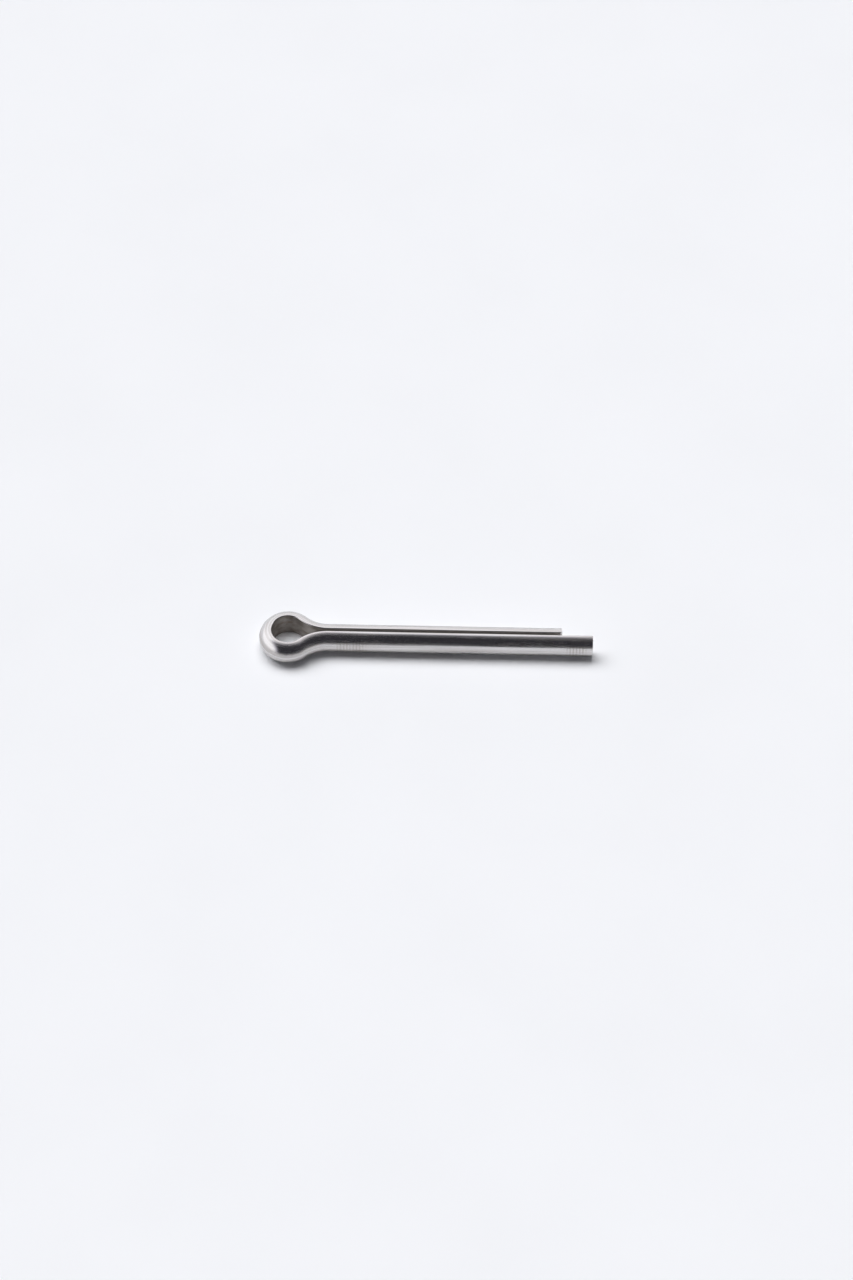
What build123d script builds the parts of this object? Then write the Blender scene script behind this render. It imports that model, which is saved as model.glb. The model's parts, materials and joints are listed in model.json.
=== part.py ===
from build123d import *
import math
import os

# Cotter pin: one length of half-round wire, bent round an eye so that its two legs lie with their
# flats facing, one leg longer than the other. The two backs together make a nearly round shank.
# Millimetres, +Z up. The pin lies flat: the shank runs along X, the eye is at the -X end, and the
# origin is on the table under the middle of the pin's box.

# driving dimensions
shank_diameter = 2.86  # over the backs of the two legs
leg_gap = 0.26  # between the two flats, along the shank
wire_edge_radius = 0.12  # rolled edge between the wire's flat and its back
eye_radius = 1.7  # from the eye's centre to the flat that lines it
neck_radius = 4.7  # of the flat, where a leg swings in from the eye
eye_reach = 6.4  # from the crown of the eye to where the nominal length starts
nominal_length = 25.0  # from there to the end of the short leg
leg_overhang = 3.2  # by which the long leg is longer
tip_bevel = 0.14  # on the flat's edge at each cut end

# the wire's section
shank_radius = shank_diameter / 2
half_gap = leg_gap / 2
wire_thickness = shank_radius - half_gap
edge_centre_y = half_gap + wire_edge_radius
edge_centre_z = math.sqrt((shank_radius - wire_edge_radius) ** 2 - edge_centre_y**2)
half_height = edge_centre_z + wire_edge_radius

# the bend, with the eye's centre on x = 0 until the pin is placed
bend_span = eye_radius + neck_radius
neck_centre_y = half_gap + neck_radius
neck_centre_x = math.sqrt(bend_span**2 - neck_centre_y**2)
neck_turn = math.degrees(math.acos(neck_centre_y / bend_span))
eye_turn = 180 + 2 * neck_turn
crown_x = -(eye_radius + wire_thickness)
short_end_x = crown_x + eye_reach + nominal_length
long_end_x = short_end_x + leg_overhang


def wire_section(flat_y):
    """The half-round section in the YZ plane, its flat at flat_y and its back towards +Y."""
    disc = Circle(shank_radius)
    kept_side = Pos(half_gap + shank_radius, 0) * Rectangle(2 * shank_radius, 3 * shank_radius)
    half_round = disc & kept_side
    half_round = fillet(half_round.vertices(), wire_edge_radius)
    return Plane.YZ * Pos(flat_y - half_gap, 0) * half_round


def leg(end_x):
    """A straight leg on the +Y side, from the end of its neck to its cut end."""
    length = end_x - neck_centre_x
    bar = extrude(Pos(neck_centre_x, 0, 0) * wire_section(half_gap), length, dir=(1, 0, 0))
    corner = (end_x, half_gap)
    wedge = Polygon(
        (corner[0] - 2 * tip_bevel, corner[1] - tip_bevel),
        (corner[0] + tip_bevel, corner[1] - tip_bevel),
        (corner[0] + tip_bevel, corner[1] + 2 * tip_bevel),
        align=None,
    )
    return bar - extrude(wedge, shank_diameter, both=True)


def neck():
    """The bend on the +Y side that carries the wire from a leg out to the eye."""
    axis = Axis((neck_centre_x, neck_centre_y, 0), (0, 0, -1))
    return revolve(Pos(neck_centre_x, 0, 0) * wire_section(half_gap), axis, neck_turn)


def eye():
    """The round bend of the eye, from neck to neck by way of the crown."""
    start = wire_section(eye_radius).rotate(Axis.Z, -neck_turn)
    return revolve(start, Axis.Z, eye_turn)


def cotter_pin():
    """The whole pin: the long leg on the -Y side, the short one on the +Y side."""
    short_side = leg(short_end_x) + neck()
    long_side = (leg(long_end_x) + neck()).mirror(Plane.XZ)
    pin = short_side + eye() + long_side
    middle_x = (crown_x + long_end_x) / 2
    return Pos(-middle_x, 0, half_height) * pin


os.makedirs("parts", exist_ok=True)
export_step(cotter_pin(), "parts/cotter_pin.step")
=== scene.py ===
"""A split cotter pin of half-round stainless wire, lying flat on a pale studio table.

The pin is formed here as a pin machine forms it: the wire's section is drawn, the short leg is run out,
the wire is bent round the eye, the long leg is run back beside the short one, and both ends are sheared.
The pin is worked in millimetres and brought to the frame's metres when it is finished.
"""

import json
import logging
import math
from dataclasses import dataclass
from enum import Enum
from typing import Any, Callable

import bmesh
import bpy
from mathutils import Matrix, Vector


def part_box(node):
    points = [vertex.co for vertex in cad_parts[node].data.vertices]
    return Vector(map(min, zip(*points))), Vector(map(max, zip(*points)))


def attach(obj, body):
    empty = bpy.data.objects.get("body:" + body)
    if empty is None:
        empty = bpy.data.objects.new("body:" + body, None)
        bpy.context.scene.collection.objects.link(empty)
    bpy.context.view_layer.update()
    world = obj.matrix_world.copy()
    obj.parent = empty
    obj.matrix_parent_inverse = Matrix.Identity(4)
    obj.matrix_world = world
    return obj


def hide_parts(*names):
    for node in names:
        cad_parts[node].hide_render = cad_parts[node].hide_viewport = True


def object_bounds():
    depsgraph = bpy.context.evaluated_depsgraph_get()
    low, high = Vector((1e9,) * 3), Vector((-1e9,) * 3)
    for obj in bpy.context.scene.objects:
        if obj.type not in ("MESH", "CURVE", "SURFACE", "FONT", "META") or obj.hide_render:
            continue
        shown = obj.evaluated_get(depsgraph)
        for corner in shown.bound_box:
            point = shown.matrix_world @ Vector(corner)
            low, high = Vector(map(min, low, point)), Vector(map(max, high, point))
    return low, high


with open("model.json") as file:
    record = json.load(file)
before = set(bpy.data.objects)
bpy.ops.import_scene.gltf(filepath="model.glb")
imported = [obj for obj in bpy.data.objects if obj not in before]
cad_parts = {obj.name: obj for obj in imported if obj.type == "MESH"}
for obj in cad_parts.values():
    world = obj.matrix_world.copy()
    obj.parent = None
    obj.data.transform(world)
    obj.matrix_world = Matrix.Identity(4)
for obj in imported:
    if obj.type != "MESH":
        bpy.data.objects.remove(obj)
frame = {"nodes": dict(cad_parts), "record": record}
CAD_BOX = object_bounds()

MM = 0.001  # one millimetre in the frame's metres
TAU = 2 * math.pi
PLACE = "wire_place"  # attribute: millimetres along the wire from the crown, out from the flat, and up
RUN = "wire_run"  # UV map whose U runs along the wire
NEAR = 1e-4  # millimetres: two lengths that differ by less are the same
WELD = 1e-5  # millimetres: corners closer than this become one
CUT = 1e-6  # millimetres: how close to a cutting plane a corner counts as on it
log = logging.getLogger("cotter_pin")


class Leg(Enum):
    """The two legs, by the side of the shank's axis that each lies on."""

    SHORT = 1
    LONG = -1


class Finish(Enum):
    """The surfaces of the pin, by the number of the material slot that each has."""

    DRAWN = 0
    FLAT = 1
    SHEARED = 2


def srgb(code: str) -> tuple[float, float, float, float]:
    """Turns an sRGB hex colour into the linear colour that a shader takes.

    Args:
        code: Six hex digits, red first.

    Returns:
        Linear red, green and blue, with an alpha of 1.
    """
    parts = [int(code[i : i + 2], 16) / 255 for i in (0, 2, 4)]
    linear = [c / 12.92 if c <= 0.04045 else ((c + 0.055) / 1.055) ** 2.4 for c in parts]
    return (*linear, 1.0)


def add_node(
    tree: bpy.types.NodeTree,
    kind: str,
    settings: dict[str | int, Any] | None = None,
    links: dict[str | int, bpy.types.NodeSocket] | None = None,
) -> bpy.types.Node:
    """Adds one shader node with its settings and links.

    Args:
        tree: The node tree that the node goes into.
        kind: Blender's type name of the node, less its first word.
        settings: Values by name, each an input of the node or else one of its own properties.
        links: Output sockets to join, by the name or the number of this node's input.

    Returns:
        The new node.
    """
    node = tree.nodes.new("ShaderNode" + kind)
    for name, value in (settings or {}).items():
        if isinstance(name, int) or name in node.inputs:
            node.inputs[name].default_value = value
        else:
            setattr(node, name, value)
    for name, socket in (links or {}).items():
        tree.links.new(socket, node.inputs[name])
    return node


def spread(
    tree: bpy.types.NodeTree,
    value: bpy.types.NodeSocket,
    given: tuple[float, float],
    wanted: tuple[float, float],
    smooth: bool = False,
) -> bpy.types.NodeSocket:
    """Maps one range of a value onto another, and holds it at both ends.

    Args:
        tree: The node tree to add to.
        value: The value to map.
        given: The range that is mapped, the lower number first.
        wanted: What its two ends become.
        smooth: Whether the change eases in and out.

    Returns:
        The mapped value.
    """
    ease = "SMOOTHSTEP" if smooth else "LINEAR"
    node = add_node(tree, "MapRange", {"interpolation_type": ease}, {"Value": value})
    for name, number in zip(("From Min", "From Max", "To Min", "To Max"), (*given, *wanted)):
        node.inputs[name].default_value = number
    return node.outputs["Result"]


def reckon(
    tree: bpy.types.NodeTree,
    operation: str,
    first: bpy.types.NodeSocket | float,
    second: bpy.types.NodeSocket | float = 0.0,
) -> bpy.types.NodeSocket:
    """Adds one Math node.

    Args:
        tree: The node tree to add to.
        operation: The node's operation, such as MULTIPLY.
        first: A value or an output socket.
        second: A value or an output socket.

    Returns:
        The result.
    """
    node = add_node(tree, "Math", {"operation": operation})
    for number, given in enumerate((first, second)):
        if isinstance(given, float):
            node.inputs[number].default_value = given
        else:
            tree.links.new(given, node.inputs[number])
    return node.outputs["Value"]


def new_material(name: str) -> tuple[bpy.types.Material, bpy.types.NodeTree]:
    """Makes a material with an empty node tree.

    Args:
        name: What the material is.

    Returns:
        The material and its node tree.
    """
    material = bpy.data.materials.new(name)
    material.use_nodes = True
    material.node_tree.nodes.clear()
    return material, material.node_tree


def wire_place(tree: bpy.types.NodeTree) -> bpy.types.NodeSocket:
    """The place on the wire: along it, out from its flat, and up, in millimetres."""
    return add_node(tree, "Attribute", {"attribute_name": PLACE}).outputs["Vector"]


def stretch(
    tree: bpy.types.NodeTree, place: bpy.types.NodeSocket, scale: tuple[float, float, float]
) -> bpy.types.NodeSocket:
    """Scales a place along each of its three axes.

    Args:
        tree: The node tree to add to.
        place: The place to scale.
        scale: What each axis is multiplied by.

    Returns:
        The scaled place.
    """
    return add_node(tree, "VectorMath", {"operation": "MULTIPLY", 1: scale}, {0: place}).outputs["Vector"]


def noise(
    tree: bpy.types.NodeTree, place: bpy.types.NodeSocket, detail: float, scale: float = 1.0
) -> bpy.types.NodeSocket:
    """Adds one Noise Texture.

    Args:
        tree: The node tree to add to.
        place: Where the noise is read.
        detail: How many finer layers are added.
        scale: How many of its broadest spots lie in one unit of length.

    Returns:
        The noise, about one half.
    """
    return add_node(tree, "TexNoise", {"Scale": scale, "Detail": detail}, {"Vector": place}).outputs["Fac"]


def blend(
    tree: bpy.types.NodeTree,
    share: bpy.types.NodeSocket,
    first: bpy.types.NodeSocket | str,
    second: str,
) -> bpy.types.NodeSocket:
    """Mixes two colours.

    Args:
        tree: The node tree to add to.
        share: How much of the second colour is taken, from 0 to 1.
        first: An sRGB hex colour or an output socket.
        second: An sRGB hex colour.

    Returns:
        The mixed colour.
    """
    node = add_node(tree, "Mix", {"data_type": "RGBA", 7: srgb(second)}, {0: share})
    if isinstance(first, str):
        node.inputs[6].default_value = srgb(first)
    else:
        tree.links.new(first, node.inputs[6])
    return node.outputs[2]


def relief(
    tree: bpy.types.NodeTree, height: bpy.types.NodeSocket, strength: float = 1.0, unit: float = MM
) -> bpy.types.NodeSocket:
    """Raises a surface by a height.

    Args:
        tree: The node tree to add to.
        height: The height, in the unit below.
        strength: How much of the height shows.
        unit: The height's unit, in metres.

    Returns:
        The normal of the raised surface.
    """
    bump = add_node(tree, "Bump", {"Strength": strength, "Distance": unit}, {"Height": height})
    return bump.outputs["Normal"]


def coat(
    tree: bpy.types.NodeTree,
    settings: dict[str | int, Any],
    links: dict[str | int, bpy.types.NodeSocket],
) -> None:
    """Adds the Principled shader and joins it to the material's output.

    Args:
        tree: The node tree to add to.
        settings: The shader's values that are the same all over.
        links: The shader's values that vary.
    """
    shader = add_node(tree, "BsdfPrincipled", settings, links)
    add_node(tree, "OutputMaterial", links={"Surface": shader.outputs["BSDF"]})


def select_only(obj: bpy.types.Object) -> None:
    """Leaves one object selected and active, and nothing else.

    Args:
        obj: The object.
    """
    bpy.ops.object.select_all(action="DESELECT")
    obj.select_set(True)
    bpy.context.view_layer.objects.active = obj


def pick(obj: bpy.types.Object, mode: str, wanted: Callable[[Any], bool]) -> int:
    """Selects vertices, edges or faces of the mesh in edit mode, and deselects all the rest.

    Args:
        obj: The object that is in edit mode.
        mode: VERT, EDGE or FACE.
        wanted: Says of one element whether it is selected.

    Returns:
        How many elements were selected.
    """
    bpy.ops.mesh.select_mode(type=mode)
    bpy.ops.mesh.select_all(action="DESELECT")
    mesh = bmesh.from_edit_mesh(obj.data)
    elements = {"VERT": mesh.verts, "EDGE": mesh.edges, "FACE": mesh.faces}[mode]
    found = [element for element in elements if wanted(element)]
    for element in found:
        element.select = True
    mesh.select_flush_mode()
    bmesh.update_edit_mesh(obj.data)
    return len(found)


@dataclass(frozen=True)
class HalfRoundWire:
    """The stock that the pin is made of: half-round wire with rolled edges. Millimetres."""

    back_radius: float
    half_gap: float
    edge_radius: float
    back_steps: int = 44
    edge_steps: int = 8

    @property
    def thickness(self) -> float:
        """From the flat to the middle of the back."""
        return self.back_radius - self.half_gap

    @property
    def edge_centre(self) -> tuple[float, float]:
        """The centre of the upper rolled edge, outwards from the shank's axis and up from it."""
        out = self.half_gap + self.edge_radius
        return out, math.sqrt((self.back_radius - self.edge_radius) ** 2 - out**2)

    @property
    def edge_start(self) -> float:
        """The angle above the outward direction at which the back meets its upper rolled edge."""
        out, up = self.edge_centre
        return math.atan2(up, out)

    def draw(self, name: str, x: float) -> bpy.types.Object:
        """Draws the wire's section as one face across the X axis, on the short leg's side.

        Args:
            name: The name of the new object.
            x: Where along the shank the section stands.

        Returns:
            The object, in edit mode with its one face selected.
        """
        out, up = self.edge_centre
        start = self.edge_start
        edge_turn = math.pi - start
        bpy.ops.object.select_all(action="DESELECT")
        bpy.ops.mesh.primitive_circle_add(
            vertices=round(self.edge_steps * TAU / edge_turn),
            radius=self.edge_radius,
            location=(x, out, up),
            rotation=(0, TAU / 4, 0),
        )
        obj = bpy.context.object
        obj.name = name
        bpy.ops.object.transform_apply(location=True, rotation=True, scale=True)
        bpy.ops.object.mode_set(mode="EDIT")
        # the circle is cut back to the arc of the upper rolled edge, between the flat and the back
        for normal in ((0, 0, -1), (0, math.sin(start), -math.cos(start))):
            bpy.ops.mesh.select_all(action="SELECT")
            bpy.ops.mesh.bisect(plane_co=(x, out, up), plane_no=normal, clear_outer=True, threshold=CUT)
        back_start = self.back_radius * Vector((0, math.cos(start), math.sin(start))) + Vector((x, 0, 0))
        touching = self.edge_radius / 20
        pick(obj, "VERT", lambda v: (v.co - back_start).length < touching)
        bpy.ops.mesh.spin(steps=self.back_steps, angle=2 * start, center=(x, 0, 0), axis=(1, 0, 0))
        bpy.ops.mesh.spin(steps=self.edge_steps, angle=edge_turn, center=(x, out, -up), axis=(1, 0, 0))
        bpy.ops.mesh.select_all(action="SELECT")
        bpy.ops.mesh.remove_doubles(threshold=WELD)
        bpy.ops.mesh.edge_face_add()
        return obj


@dataclass(frozen=True)
class PinForm:
    """How the wire is bent. Millimetres, with the shank's axis on z = 0."""

    wire: HalfRoundWire
    eye_x: float
    eye_radius: float
    neck_x: float
    short_end_x: float
    long_end_x: float
    mid_height: float

    @property
    def neck_radius(self) -> float:
        """Of the flat where a leg swings in from the eye, so that the bends meet without a kink."""
        reach, gap = self.neck_x - self.eye_x, self.wire.half_gap
        return (reach**2 + gap**2 - self.eye_radius**2) / (2 * (self.eye_radius - gap))

    @property
    def neck_y(self) -> float:
        """How far the centre of a neck's bend lies from the shank's axis."""
        return self.wire.half_gap + self.neck_radius

    @property
    def neck_turn(self) -> float:
        """The angle that each neck turns the wire through."""
        return math.acos(self.neck_y / (self.eye_radius + self.neck_radius))

    @property
    def eye_turn(self) -> float:
        """The angle that the eye turns the wire through."""
        return math.pi + 2 * self.neck_turn

    @property
    def eye_length(self) -> float:
        """Along the middle of the wire, from the crown to the end of the eye's bend."""
        return self.eye_turn / 2 * (self.eye_radius + self.wire.thickness / 2)

    @property
    def leg_start(self) -> float:
        """Along the middle of the wire, from the crown to where a leg runs straight."""
        return self.eye_length + self.neck_turn * (self.neck_radius - self.wire.thickness / 2)

    def leg_x(self, along: float) -> float:
        """Where along X a point of a straight leg lies that is so far along the wire from the crown."""
        return self.neck_x + along - self.leg_start

    def place(self, x: float, y: float) -> tuple[float, float]:
        """Finds where along the wire and how far into it a point of the pin lies, seen from above.

        Args:
            x: The point's place along the shank.
            y: The point's place across the shank.

        Returns:
            The distance along the wire from the crown, positive towards the short leg, and the distance
            out from the wire's flat.
        """
        side = math.copysign(1.0, y)
        middle = self.wire.thickness / 2
        if x >= self.neck_x:
            return side * (self.leg_start + x - self.neck_x), abs(y) - self.wire.half_gap
        if math.atan2(abs(y), x - self.eye_x) >= TAU / 4 - self.neck_turn:
            angle = math.atan2(abs(y), self.eye_x - x)
            out = math.hypot(x - self.eye_x, y) - self.eye_radius
            return side * angle * (self.eye_radius + middle), out
        angle = math.atan2(self.neck_x - x, self.neck_y - abs(y))
        out = self.neck_radius - math.hypot(x - self.neck_x, self.neck_y - abs(y))
        return side * (self.leg_start - angle * (self.neck_radius - middle)), out


@dataclass(frozen=True)
class FeedMarks:
    """Faint crosswise marks that the machine's feed rolls press into the long leg. Millimetres.

    The rolls touch only the middle of the wire's back, so the marks fade out above and below it.
    """

    form: PinForm
    pitch: float = 0.33
    depth: float = 0.0048
    rings: int = 4
    from_neck: int = 1
    by_eye: int = 11
    at_tip: int = 8
    tip_margin: float = 0.2
    heights: tuple[float, ...] = (1.05, 0.85, 0.65)
    unevenness: float = 0.25
    uneven_turn: float = 2.4

    def zones(self) -> list[tuple[int, int]]:
        """Where the marks lie along the wire, counted in pitches from the crown.

        Returns:
            The first and last pitch of the zone by the eye and of the zone at the tip.
        """
        form = self.form
        first = math.ceil(form.leg_start / self.pitch) + self.from_neck
        tip = form.leg_start + form.long_end_x - form.neck_x - self.tip_margin
        last = math.floor(tip / self.pitch)
        return [(first, first + self.by_eye), (last - self.at_tip, last)]

    def depth_of(self, mark: int, zone: tuple[int, int]) -> float:
        """Says how deep one mark is: they fade at both ends of a zone, and no two are quite alike.

        Args:
            mark: The mark, counted in pitches from the crown.
            zone: The first and last pitch of the zone that it lies in.

        Returns:
            Its depth.
        """
        share = (mark - zone[0]) / (zone[1] - zone[0])
        uneven = 1 - self.unevenness + self.unevenness * math.sin(mark * self.uneven_turn)
        return self.depth * math.sin(math.pi * share) * uneven


def read_form() -> PinForm:
    """Reads the wire's section and the pin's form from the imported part.

    Returns:
        The form, in millimetres.
    """
    corners = [vertex.co / MM for vertex in frame["nodes"]["cotter_pin"].data.vertices]
    mounts = {mount["name"]: mount for mount in frame["record"]["mounts"]}
    shank, eye = mounts["shank"], mounts["eye"]
    mid_height = shank["pos_m"][2] / MM
    wire = HalfRoundWire(
        back_radius=shank["dims"]["r_mm"],
        half_gap=min(abs(c.y) for c in corners if c.x > 0),
        edge_radius=mid_height - eye["dims"]["length_mm"] / 2,
    )
    return PinForm(
        wire=wire,
        eye_x=eye["pos_m"][0] / MM,
        eye_radius=eye["dims"]["r_mm"],
        neck_x=shank["pos_m"][0] / MM,
        short_end_x=max(c.x for c in corners if c.y > 0),
        long_end_x=max(c.x for c in corners),
        mid_height=mid_height,
    )


@dataclass(frozen=True)
class DieLines:
    """Lines that a drawing die leaves along the wire. Millimetres."""

    width: float
    length: float
    detail: float

    def value(self, tree: bpy.types.NodeTree, place: bpy.types.NodeSocket) -> bpy.types.NodeSocket:
        """Draws noise out into the lines.

        Args:
            tree: The node tree to add to.
            place: The place on the wire.

        Returns:
            The noise, about one half.
        """
        drawn_out = stretch(tree, place, (1 / self.length, 1 / self.width, 1 / self.width))
        return noise(tree, drawn_out, self.detail)


@dataclass(frozen=True)
class DrawnWire:
    """The rounded back of the wire: bright drawn stainless steel, as a die leaves it.

    The die leaves fine lines along the wire, so the steel mirrors sharply along its length and softly
    across it. The feed marks' grooves are painted darker, a painted shade for how the marks break the
    steel's reflection. Sizes in millimetres.
    """

    marks: FeedMarks
    steel: str = "d2d0d0"
    film: str = "b3aeab"
    film_from: tuple[float, float] = (0.42, 0.68)
    film_most: float = 0.8
    roughness: tuple[float, float] = (0.17, 0.30)
    roughness_from: tuple[float, float] = (0.35, 0.7)
    line_roughness: tuple[float, float] = (-0.03, 0.05)
    burnished: tuple[float, float] = (0.08, 0.4)
    burnished_share: float = 0.7
    across: float = 0.72
    across_turn: float = 0.25
    # real die lines are a few thousandths of a millimetre apart, and are drawn coarser here
    fine: DieLines = DieLines(width=0.07, length=7.0, detail=4.0)
    broad: DieLines = DieLines(width=0.35, length=14.0, detail=2.0)
    line_depth: float = 0.0016
    bow: DieLines = DieLines(width=1 / 0.15, length=5.5, detail=1.0)
    bow_depth: float = 0.012
    pit_spacing: float = 0.35
    pit_size: tuple[float, float] = (0.05, 0.14)
    pit_depth: float = 0.003
    # painted shade in the feed marks' grooves: how its strength wanders, and how faint it can get
    groove_shade_scale: tuple[float, float, float] = (1.1, 0.9, 0.9)
    groove_shade_from: tuple[float, float] = (0.35, 0.6)
    groove_shade_least: float = 0.25

    def make(self) -> bpy.types.Material:
        """Makes the material.

        Returns:
            The material.
        """
        material, tree = new_material("drawn_stainless_back")
        place = wire_place(tree)
        fine = self.fine.value(tree, place)
        broad = self.broad.value(tree, place)
        filmed = spread(tree, broad, self.film_from, (0.0, self.film_most))
        tangent = add_node(tree, "Tangent", {"direction_type": "UV_MAP", "uv_map": RUN})
        coat(
            tree,
            {"Metallic": 1.0, "Anisotropic": self.across, "Anisotropic Rotation": self.across_turn},
            {
                # the base colour takes the film and, in the feed marks' grooves, a painted shade
                "Base Color": blend(
                    tree, reckon(tree, "ADD", filmed, self._groove_shade(tree, place)), self.steel, self.film
                ),
                "Roughness": self._roughness(tree, place, fine, broad),
                "Normal": relief(tree, self._height(tree, place, fine)),
                "Tangent": tangent.outputs["Tangent"],
            },
        )
        return material

    def _roughness(
        self,
        tree: bpy.types.NodeTree,
        place: bpy.types.NodeSocket,
        fine: bpy.types.NodeSocket,
        broad: bpy.types.NodeSocket,
    ) -> bpy.types.NodeSocket:
        """Works out the roughness: the rolled edges are burnished, so they are smoother than the rest.

        Args:
            tree: The node tree to add to.
            place: The place on the wire.
            fine: The fine lines.
            broad: The broad lines.

        Returns:
            The roughness.
        """
        out = add_node(tree, "SeparateXYZ", links={"Vector": place}).outputs["Y"]
        share = spread(tree, out, self.burnished, (self.burnished_share, 1.0), smooth=True)
        rough = reckon(tree, "MULTIPLY", spread(tree, broad, self.roughness_from, self.roughness), share)
        return reckon(tree, "ADD", rough, spread(tree, fine, self.roughness_from, self.line_roughness))

    def _height(
        self, tree: bpy.types.NodeTree, place: bpy.types.NodeSocket, fine: bpy.types.NodeSocket
    ) -> bpy.types.NodeSocket:
        """Adds up the fine lines, the wire's slight bow and its small pits.

        Args:
            tree: The node tree to add to.
            place: The place on the wire.
            fine: The fine lines.

        Returns:
            The height, in millimetres.
        """
        spacing = 1 / self.pit_spacing
        pits = add_node(
            tree,
            "TexVoronoi",
            {"Scale": 1.0, "Randomness": 1.0},
            {"Vector": stretch(tree, place, (spacing / 2, spacing, spacing))},
        ).outputs["Distance"]
        parts = (
            (fine, self.line_depth),
            (self.bow.value(tree, place), self.bow_depth),
            (spread(tree, pits, self.pit_size, (0.0, 1.0), smooth=True), self.pit_depth),
        )
        heights = [reckon(tree, "MULTIPLY", value, depth) for value, depth in parts]
        return reckon(tree, "ADD", reckon(tree, "ADD", heights[0], heights[1]), heights[2])

    def _groove_shade(self, tree: bpy.types.NodeTree, place: bpy.types.NodeSocket) -> bpy.types.NodeSocket:
        """Paints shade into the grooves of the feed marks, more in some than in others: a painted shade for
        how the marks break the reflection.

        Args:
            tree: The node tree to add to.
            place: The place on the wire.

        Returns:
            How far the painted shade darkens the steel towards the film's colour, from 0 to 1.
        """
        marks = self.marks
        pitch = marks.pitch
        axes = add_node(tree, "SeparateXYZ", links={"Vector": place})
        along = axes.outputs["X"]
        height = reckon(tree, "ABSOLUTE", axes.outputs["Z"])
        touched = spread(tree, height, (marks.heights[-1], marks.heights[0]), (1.0, 0.0), smooth=True)
        wander = noise(tree, stretch(tree, place, self.groove_shade_scale), 2.0)
        uneven = spread(tree, wander, self.groove_shade_from, (self.groove_shade_least, 1.0))
        # painted shade: darkest at the middle of each groove, only in the marked zones and along the middle
        # of the back
        wave = reckon(tree, "COSINE", reckon(tree, "MULTIPLY", along, TAU / pitch))
        soap_and_shade = spread(tree, wave, (-1.0, 1.0), (0.0, 1.0))
        marked = [self._zone(tree, along, -last * pitch, -first * pitch) for first, last in marks.zones()]
        soap_and_shade = reckon(tree, "MULTIPLY", soap_and_shade, reckon(tree, "ADD", *marked))
        return reckon(tree, "MULTIPLY", soap_and_shade, reckon(tree, "MULTIPLY", uneven, touched))

    def _zone(
        self, tree: bpy.types.NodeTree, along: bpy.types.NodeSocket, start: float, end: float
    ) -> bpy.types.NodeSocket:
        """Marks one stretch of the wire, fading in and out over two pitches.

        Args:
            tree: The node tree to add to.
            along: The distance along the wire.
            start: Where the stretch begins.
            end: Where it ends.

        Returns:
            1 inside the stretch and 0 outside it.
        """
        fade = 2 * self.marks.pitch
        begun = spread(tree, along, (start, start + fade), (0.0, 1.0), smooth=True)
        not_over = spread(tree, along, (end - fade, end), (1.0, 0.0), smooth=True)
        return reckon(tree, "MULTIPLY", begun, not_over)


@dataclass(frozen=True)
class DullFlat:
    """The flat of the wire, which lines the eye: dulled in random patches, and painted lighter along the
    legs, a painted light that lifts the shaded gap between them.

    Sizes in millimetres.
    """

    steel: str = "a49e99"
    soap_and_shade: str = "857c74"
    gap_light: str = "c2beba"
    # painted light: along the legs the flat turns to this lighter colour, where it lines the shaded gap
    # between them
    gap_light_from: tuple[float, float] = (6.4, 9.0)
    metallic: float = 0.55
    roughness: tuple[float, float] = (0.36, 0.54)
    patch: float = 0.6
    patch_stretch: float = 0.5
    patch_from: tuple[float, float] = (0.35, 0.65)
    grain: float = 0.05
    grain_stretch: float = 0.15
    grain_depth: float = 0.0012

    def make(self) -> bpy.types.Material:
        """Makes the material.

        Returns:
            The material.
        """
        material, tree = new_material("dull_flat_of_the_wire")
        place = wire_place(tree)
        patches, grain = (
            noise(tree, stretch(tree, place, (lengthwise / size, 1 / size, 1 / size)), 3.0)
            for size, lengthwise in ((self.patch, self.patch_stretch), (self.grain, self.grain_stretch))
        )
        colour = blend(tree, spread(tree, patches, self.patch_from, (0.0, 1.0)), self.steel, self.soap_and_shade)
        along = add_node(tree, "SeparateXYZ", links={"Vector": place}).outputs["X"]
        gap_lit = spread(tree, reckon(tree, "ABSOLUTE", along), self.gap_light_from, (0.0, 1.0), smooth=True)
        coat(
            tree,
            {"Metallic": self.metallic},
            {
                # painted light lifts the flat along the legs, so it stays darker only inside the eye
                "Base Color": blend(tree, gap_lit, colour, self.gap_light),
                "Roughness": spread(tree, patches, self.patch_from, self.roughness),
                "Normal": relief(tree, reckon(tree, "MULTIPLY", grain, self.grain_depth)),
            },
        )
        return material


@dataclass(frozen=True)
class ShearedEnd:
    """A cut end of the wire: burnished where the blade rubbed it, and torn grey beyond.

    The blade came down through the wire from above, and left its streaks upright. Sizes in millimetres.
    """

    burnished: str = "c4c1be"
    torn: str = "85817d"
    roughness: tuple[float, float] = (0.28, 0.62)
    streak: float = 0.06
    streak_length: float = 1 / 0.9
    pit_scale: float = 9.0
    raggedness: float = 0.5
    tear_from: tuple[float, float] = (-0.25, 0.15)
    depth: float = 0.006

    def make(self) -> bpy.types.Material:
        """Makes the material.

        Returns:
            The material.
        """
        material, tree = new_material("sheared_steel_end")
        place = wire_place(tree)
        upright = (1 / self.streak, 1 / self.streak, 1 / self.streak_length)
        streaks = noise(tree, stretch(tree, place, upright), 4.0)
        pits = noise(tree, place, 4.0, self.pit_scale)
        up = add_node(tree, "SeparateXYZ", links={"Vector": place}).outputs["Z"]
        ragged = reckon(tree, "ADD", up, reckon(tree, "MULTIPLY", pits, self.raggedness))
        tear = spread(tree, ragged, self.tear_from, (1.0, 0.0), smooth=True)
        height = reckon(tree, "ADD", streaks, reckon(tree, "MULTIPLY", pits, tear))
        coat(
            tree,
            {"Metallic": 1.0},
            {
                "Base Color": blend(tree, tear, self.burnished, self.torn),
                "Roughness": spread(tree, tear, (0.0, 1.0), self.roughness),
                "Normal": relief(tree, reckon(tree, "MULTIPLY", height, self.depth)),
            },
        )
        return material


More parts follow.
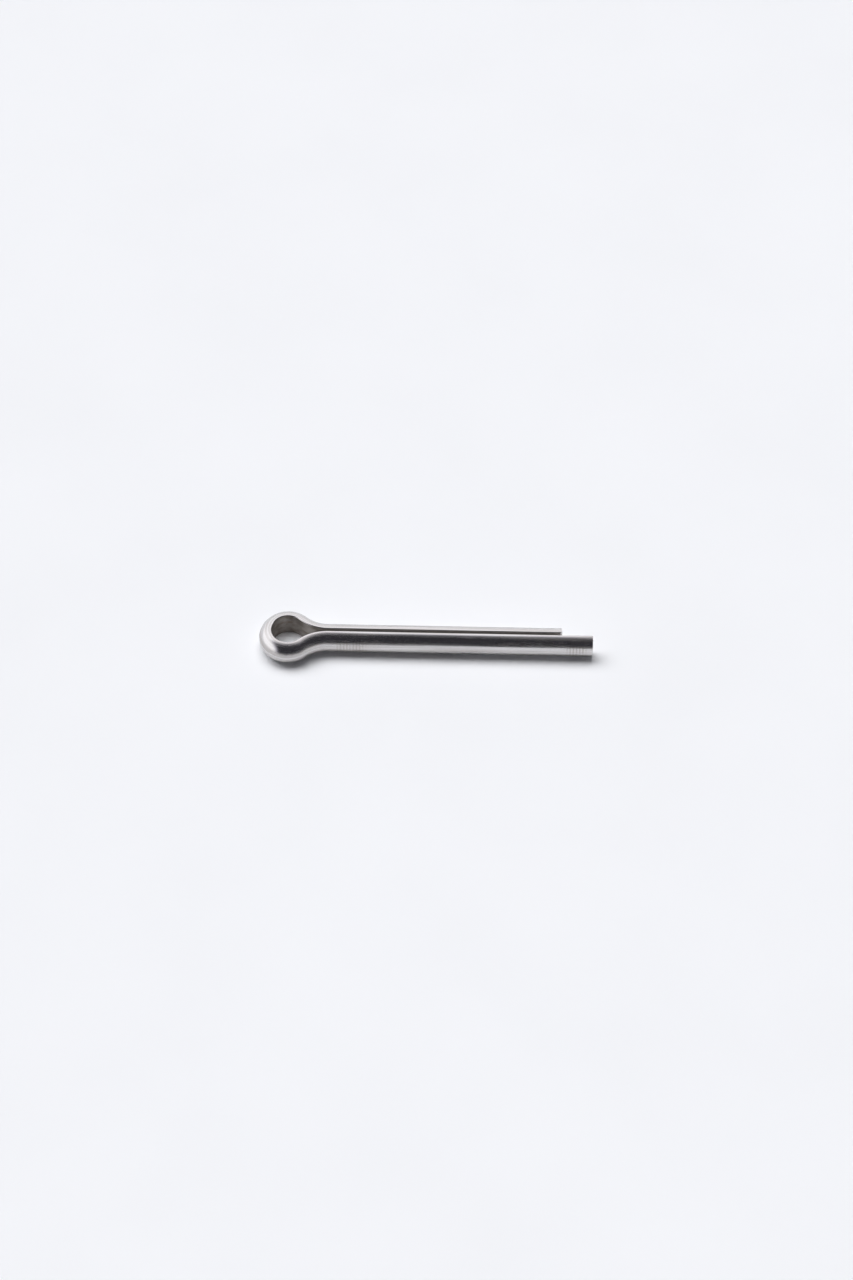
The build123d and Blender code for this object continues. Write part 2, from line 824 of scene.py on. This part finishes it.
@dataclass
class CotterPin:
    """The pin itself, one piece of bent wire. Sizes in millimetres."""

    form: PinForm
    marks: FeedMarks
    ring_spacing: float = 0.25
    neck_steps: int = 26
    eye_steps: int = 108
    flat_bevel: float = 0.14
    edge_break: float = 0.05
    edge_break_steps: int = 3
    map_width: float = 80.0
    map_lean: float = 0.37
    smooth_under: float = 35.0

    def build(self) -> bpy.types.Object:
        """Forms, cuts, smooths and dresses the pin.

        Returns:
            The finished piece, in the frame's metres.
        """
        form = self.form
        pin = form.wire.draw("cotter_pin_wire", form.short_end_x)
        self._run(pin, Leg.SHORT, form.short_end_x, form.neck_x)
        self._bend(form.neck_x, form.neck_y, form.neck_turn, self.neck_steps)
        self._bend(form.eye_x, 0, -form.eye_turn, self.eye_steps)
        self._bend(form.neck_x, -form.neck_y, form.neck_turn, self.neck_steps)
        self._run_long_leg(pin)
        bpy.ops.mesh.select_all(action="SELECT")
        bpy.ops.mesh.remove_doubles(threshold=WELD)
        bpy.ops.mesh.normals_make_consistent(inside=False)
        self._shear(pin, Leg.SHORT, form.short_end_x)
        self._shear(pin, Leg.LONG, form.long_end_x)
        self._press_marks(pin)
        bpy.ops.object.mode_set(mode="OBJECT")
        self._mark_place(pin)
        self._dress(pin)
        self._to_frame(pin)
        return pin

    def _run(
        self, pin: bpy.types.Object, leg: Leg, start: float, end: float, spacing: float | None = None
    ) -> None:
        """Runs the selected end face out along X as a straight leg, with rings along it.

        Args:
            pin: The pin, in edit mode.
            leg: Which leg is run.
            start: Where along X the end face stands.
            end: Where along X it is run to.
            spacing: The distance between rings, where it isn't the usual one.
        """
        bpy.ops.mesh.extrude_region_move(TRANSFORM_OT_translate={"value": (end - start, 0, 0)})

        def lengthwise(edge: Any) -> bool:
            """Says whether an edge runs the whole length that was just run out."""
            a, b = (v.co for v in edge.verts)
            return a.y * leg.value > 0 and abs(abs(a.x - b.x) - abs(end - start)) < NEAR

        pick(pin, "EDGE", lengthwise)
        cuts = round(abs(end - start) / (spacing or self.ring_spacing)) - 1
        bpy.ops.mesh.subdivide(number_cuts=max(cuts, 1))
        pick(
            pin,
            "FACE",
            lambda f: all(abs(v.co.x - end) < NEAR and v.co.y * leg.value > 0 for v in f.verts),
        )

    def _run_long_leg(self, pin: bpy.types.Object) -> None:
        """Runs the long leg out from its neck, with closer rings where the feed rolls mark it.

        Args:
            pin: The pin, in edit mode.
        """
        form, marks = self.form, self.marks
        stand = form.neck_x
        for first, last in marks.zones():
            start, end = form.leg_x(first * marks.pitch), form.leg_x(last * marks.pitch)
            self._run(pin, Leg.LONG, stand, start)
            self._run(pin, Leg.LONG, start, end, marks.pitch / marks.rings)
            stand = end
        self._run(pin, Leg.LONG, stand, form.long_end_x)

    def _press_marks(self, pin: bpy.types.Object) -> None:
        """Presses the feed rolls' marks into the back of the long leg, deepest along its middle.

        Args:
            pin: The pin, in edit mode.
        """
        marks = self.marks
        back_y = -(self.form.wire.half_gap + self.form.wire.edge_radius)
        for zone in marks.zones():
            for mark in range(zone[0] + 1, zone[1]):
                x = self.form.leg_x(mark * marks.pitch)
                step = marks.depth_of(mark, zone) / len(marks.heights)
                for height in marks.heights:
                    pick(
                        pin,
                        "VERT",
                        lambda v: abs(v.co.x - x) < 10 * NEAR and v.co.y < back_y and abs(v.co.z) < height,
                    )
                    bpy.ops.transform.shrink_fatten(value=-step)

    @staticmethod
    def _bend(centre_x: float, centre_y: float, turn: float, steps: int) -> None:
        """Bends the wire on from the selected end face.

        Args:
            centre_x: Where along X the bend's centre lies.
            centre_y: Where along Y it lies.
            turn: The angle of the bend, positive for clockwise from above.
            steps: How many short lengths the bend is made of.
        """
        bpy.ops.mesh.spin(steps=steps, angle=turn, center=(centre_x, centre_y, 0), axis=(0, 0, 1))

    def _shear(self, pin: bpy.types.Object, leg: Leg, end_x: float) -> None:
        """Bevels the flat's edge at a cut end, and breaks the sharp edge round the rest of it.

        Args:
            pin: The pin, in edit mode.
            leg: Which leg's end is cut.
            end_x: Where that end stands.
        """
        side = leg.value
        reach = end_x - 4 * self.flat_bevel
        pick(pin, "FACE", lambda f: all(v.co.x > reach and v.co.y * side > 0 for v in f.verts))
        bpy.ops.mesh.bisect(
            plane_co=(end_x - self.flat_bevel, side * self.form.wire.half_gap, 0),
            plane_no=(1, -side, 0),
            use_fill=True,
            clear_outer=True,
            threshold=CUT,
        )
        pick(pin, "EDGE", lambda e: all(v.co.x > end_x - NEAR and v.co.y * side > 0 for v in e.verts))
        bpy.ops.mesh.bevel(
            offset=self.edge_break, segments=self.edge_break_steps, profile=0.5, affect="EDGES"
        )

    def _mark_place(self, pin: bpy.types.Object) -> None:
        """Stores the place on the wire of each vertex, and a UV map that runs along the wire.

        Args:
            pin: The pin, in object mode and in millimetres.
        """
        mesh = pin.data
        places = []
        for vertex in mesh.vertices:
            along, out = self.form.place(vertex.co.x, vertex.co.y)
            places.append((along, out, vertex.co.z))
        attribute = mesh.attributes.new(PLACE, "FLOAT_VECTOR", "POINT")
        attribute.data.foreach_set("vector", [number for place in places for number in place])
        layer = mesh.uv_layers.new(name=RUN)
        for loop in mesh.loops:
            along, out, up = places[loop.vertex_index]
            across = up + self.map_lean * out
            layer.data[loop.index].uv = (0.5 + along / self.map_width, 0.5 + across / self.map_width)

    def _dress(self, pin: bpy.types.Object) -> None:
        """Gives each face of the pin its finish.

        Args:
            pin: The pin, in object mode and in millimetres.
        """
        for finish in (DrawnWire(self.marks), DullFlat(), ShearedEnd()):
            pin.data.materials.append(finish.make())
        for face in pin.data.polygons:
            face.material_index = self._finish_of(face).value

    def _finish_of(self, face: bpy.types.MeshPolygon) -> Finish:
        """Finds the finish of one face by where it lies on the wire.

        Args:
            face: The face, in millimetres.

        Returns:
            Its finish.
        """
        wire = self.form.wire
        along, out = self.form.place(face.center.x, face.center.y)
        end_x = self.form.short_end_x if along > 0 else self.form.long_end_x
        if abs(face.normal.x) > 0.9 and face.center.x > end_x - self.edge_break:
            return Finish.SHEARED
        # the flat's film reaches a little way round the rolled edges
        if out < 0.3 * wire.edge_radius and abs(face.center.z) < wire.edge_centre[1] + wire.edge_radius / 2:
            return Finish.FLAT
        return Finish.DRAWN

    def _to_frame(self, pin: bpy.types.Object) -> None:
        """Brings the pin to metres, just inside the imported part's box, and smooths its faces.

        Args:
            pin: The pin, in object mode and in millimetres.
        """
        select_only(pin)
        corners = [vertex.co for vertex in pin.data.vertices]
        low = Vector(min(corner[axis] for corner in corners) for axis in range(3))
        high = Vector(max(corner[axis] for corner in corners) for axis in range(3))
        box_low, box_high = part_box("cotter_pin")
        scale = [(box_high[axis] - box_low[axis]) / (high[axis] - low[axis]) for axis in range(3)]
        pin.scale = [min(MM, share) for share in scale]
        middle = (low + high) / 2
        pin.location = (box_low + box_high) / 2 - Vector(m * s for m, s in zip(middle, pin.scale))
        bpy.ops.object.transform_apply(location=True, rotation=True, scale=True)
        bpy.ops.object.shade_smooth_by_angle(angle=math.radians(self.smooth_under))


@dataclass(frozen=True)
class Studio:
    """Table, surroundings, light and camera. Metres and degrees."""

    table_radius: float = 0.7
    rim_corners: int = 96
    backdrop_height: float = 0.3
    backdrop_glow: tuple[float, float] = (0.97, 1.0)
    backdrop_clouds: float = 6.0
    table_white: tuple[str, str] = ("f8f9fb", "f6f7f9")
    table_clouds: float = 55.0
    table_grain: float = 2600.0
    table_roughness: tuple[float, float] = (0.85, 0.95)
    table_relief: tuple[float, float] = (0.25, 0.01 * MM)
    noise_from: tuple[float, float] = (0.3, 0.7)
    room_radius: float = 0.42
    room_floor: float = -0.02
    bright_walls: float = 1.43
    back_wall: float = 1.22
    back_wall_from: tuple[float, float] = (0.3, 0.8)
    dark_side: float = 0.04
    bright_tint: str = "fdfdff"
    dark_tint: str = "efecff"
    left_edge: tuple[float, float] = (-0.81, -0.5)
    back_edge: tuple[float, float] = (-0.04, 0.22)
    fill: float = 0.055
    fill_tint: str = "f3f6ff"
    key_strength: float = 1.64
    key_spread: float = 40.0
    key_from: tuple[tuple[float, float, float], ...] = ((-0.62, 0.27, 1.0), (0.02, 0.27, 1.0))
    aim_offset: tuple[float, float, float] = (0.00007, 0.0, -0.00008)
    azimuth: float = 1.35
    elevation: float = 52.5
    lens: float = 100.0
    picture_height: float = 0.1328

    def laminate(self) -> bpy.types.Material:
        """Makes a matte white laminate, with a faint fine grain and a little unevenness in its white.

        Returns:
            The material.
        """
        material, tree = new_material("matte_white_table_laminate")
        place = add_node(tree, "TexCoord").outputs["Object"]
        clouds = noise(tree, place, 2.0, self.table_clouds)
        grain = noise(tree, place, 2.0, self.table_grain)
        cloudy = spread(tree, clouds, self.noise_from, (0.0, 1.0))
        coat(
            tree,
            {"Specular IOR Level": 0.0},
            {
                "Base Color": blend(tree, cloudy, *self.table_white),
                "Roughness": spread(tree, grain, self.noise_from, self.table_roughness),
                "Normal": relief(tree, grain, *self.table_relief),
            },
        )
        return material

    def table(self) -> None:
        """Lays a wide flat table."""
        bpy.ops.object.select_all(action="DESELECT")
        bpy.ops.mesh.primitive_circle_add(
            vertices=self.rim_corners, radius=self.table_radius, fill_type="NGON"
        )
        table = bpy.context.object
        table.name = "table"
        table.data.materials.append(self.laminate())

    def backdrop(self) -> None:
        """Stands a ring of lit white paper round the table's rim, which only the camera sees."""
        bpy.ops.object.select_all(action="DESELECT")
        bpy.ops.mesh.primitive_cylinder_add(
            vertices=self.rim_corners,
            radius=self.table_radius,
            depth=self.backdrop_height,
            end_fill_type="NOTHING",
            location=(0, 0, self.backdrop_height / 2),
        )
        paper = bpy.context.object
        paper.name = "backdrop"
        bpy.ops.object.transform_apply(location=True, rotation=True, scale=True)
        material, tree = new_material("lit_backdrop_paper")
        clouds = noise(tree, add_node(tree, "TexCoord").outputs["Object"], 1.0, self.backdrop_clouds)
        glow = spread(tree, clouds, self.noise_from, self.backdrop_glow)
        light = add_node(tree, "Emission", {"Color": srgb(self.table_white[0])}, {"Strength": glow})
        add_node(tree, "OutputMaterial", links={"Surface": light.outputs["Emission"]})
        paper.data.materials.append(material)
        self.show_only(paper, "camera")

    @staticmethod
    def show_only(piece: bpy.types.Object, ray: str) -> None:
        """Hides a piece of the studio from every kind of ray but one.

        Args:
            piece: The piece.
            ray: The kind that still meets it, camera or glossy.
        """
        piece.visible_camera = ray == "camera"
        piece.visible_glossy = ray == "glossy"
        piece.visible_diffuse = False
        piece.visible_shadow = False
        piece.visible_transmission = False

    def wall_paint(self) -> bpy.types.Material:
        """Makes glowing paint: white to the left, behind and overhead, near black to the front and right.

        Returns:
            The material.
        """
        material, tree = new_material("studio_wall_paint")
        place = add_node(tree, "TexCoord").outputs["Object"]
        toward = add_node(tree, "VectorMath", {"operation": "NORMALIZE"}, {0: place}).outputs["Vector"]
        axes = add_node(tree, "SeparateXYZ", links={"Vector": toward}).outputs
        right = spread(tree, axes["X"], self.left_edge, (0.0, 1.0), smooth=True)
        front = spread(tree, axes["Y"], self.back_edge, (1.0, 0.0), smooth=True)
        unlit = reckon(tree, "MULTIPLY", right, front)
        brightness = (self.bright_walls, self.back_wall)
        walls = spread(tree, axes["Y"], self.back_wall_from, brightness, smooth=True)
        glow = add_node(tree, "MapRange", {"To Max": self.dark_side}, {"Value": unlit, "To Min": walls})
        tint = blend(tree, unlit, self.bright_tint, self.dark_tint)
        light = add_node(tree, "Emission", links={"Color": tint, "Strength": glow.outputs["Result"]})
        add_node(tree, "OutputMaterial", links={"Surface": light.outputs["Emission"]})
        return material

    def surroundings(self) -> None:
        """Builds the room as the metal mirrors it, and a faint even fill for the table."""
        bpy.ops.object.select_all(action="DESELECT")
        bpy.ops.mesh.primitive_uv_sphere_add(segments=72, ring_count=45, radius=self.room_radius)
        room = bpy.context.object
        room.name = "studio_walls"
        bpy.ops.object.mode_set(mode="EDIT")
        pick(room, "FACE", lambda face: face.calc_center_median().z < self.room_floor)
        bpy.ops.mesh.delete(type="FACE")
        bpy.ops.object.mode_set(mode="OBJECT")
        room.data.materials.append(self.wall_paint())
        self.show_only(room, "glossy")
        world = bpy.data.worlds.new("studio_fill")
        bpy.context.scene.world = world
        world.use_nodes = True
        background = world.node_tree.nodes["Background"].inputs
        background["Color"].default_value = srgb(self.fill_tint)
        background["Strength"].default_value = self.fill

    def keys(self) -> None:
        """Hangs two broad soft lights nearly overhead, side by side, which the metal doesn't mirror."""
        for number, direction in enumerate(self.key_from):
            light = bpy.data.lights.new(f"soft_light_{number}", "SUN")
            light.angle = math.radians(self.key_spread)
            light.energy = self.key_strength
            light.color = srgb(self.bright_tint)[:3]
            lamp = bpy.data.objects.new(light.name, light)
            bpy.context.scene.collection.objects.link(lamp)
            lamp.rotation_euler = (-Vector(direction)).to_track_quat("-Z", "Y").to_euler()
            lamp.visible_glossy = False
            lamp.visible_camera = False

    def camera(self, target: Vector) -> None:
        """Places the camera, looking down at the pin.

        Args:
            target: The point at the middle of the picture.
        """
        data = bpy.data.cameras.new("camera")
        data.lens = self.lens
        data.clip_start = MM
        camera = bpy.data.objects.new("camera", data)
        bpy.context.scene.collection.objects.link(camera)
        distance = self.picture_height / data.sensor_width * self.lens
        a, e = math.radians(self.azimuth), math.radians(self.elevation)
        back = Vector((math.sin(a) * math.cos(e), -math.cos(a) * math.cos(e), math.sin(e)))
        camera.location = target + back * distance
        camera.rotation_euler = (-back).to_track_quat("-Z", "Y").to_euler()
        bpy.context.scene.camera = camera

    def set_up(self) -> None:
        """Builds the whole studio round the pin."""
        self.table()
        self.backdrop()
        self.surroundings()
        self.keys()
        low, high = CAD_BOX
        self.camera((low + high) / 2 + Vector(self.aim_offset))
        bpy.context.scene.view_settings.view_transform = "Standard"


def main() -> None:
    """Builds the pin and its studio, and reports what was made."""
    logging.basicConfig(level=logging.INFO, format="%(message)s")
    form = read_form()
    log.info("form %s, neck radius %.3f mm", form, form.neck_radius)
    pin = CotterPin(form, FeedMarks(form)).build()
    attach(pin, "root")
    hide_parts("cotter_pin")
    log.info("pin: %d vertices, %d faces", len(pin.data.vertices), len(pin.data.polygons))
    Studio().set_up()


if __name__ == "__main__":
    main()
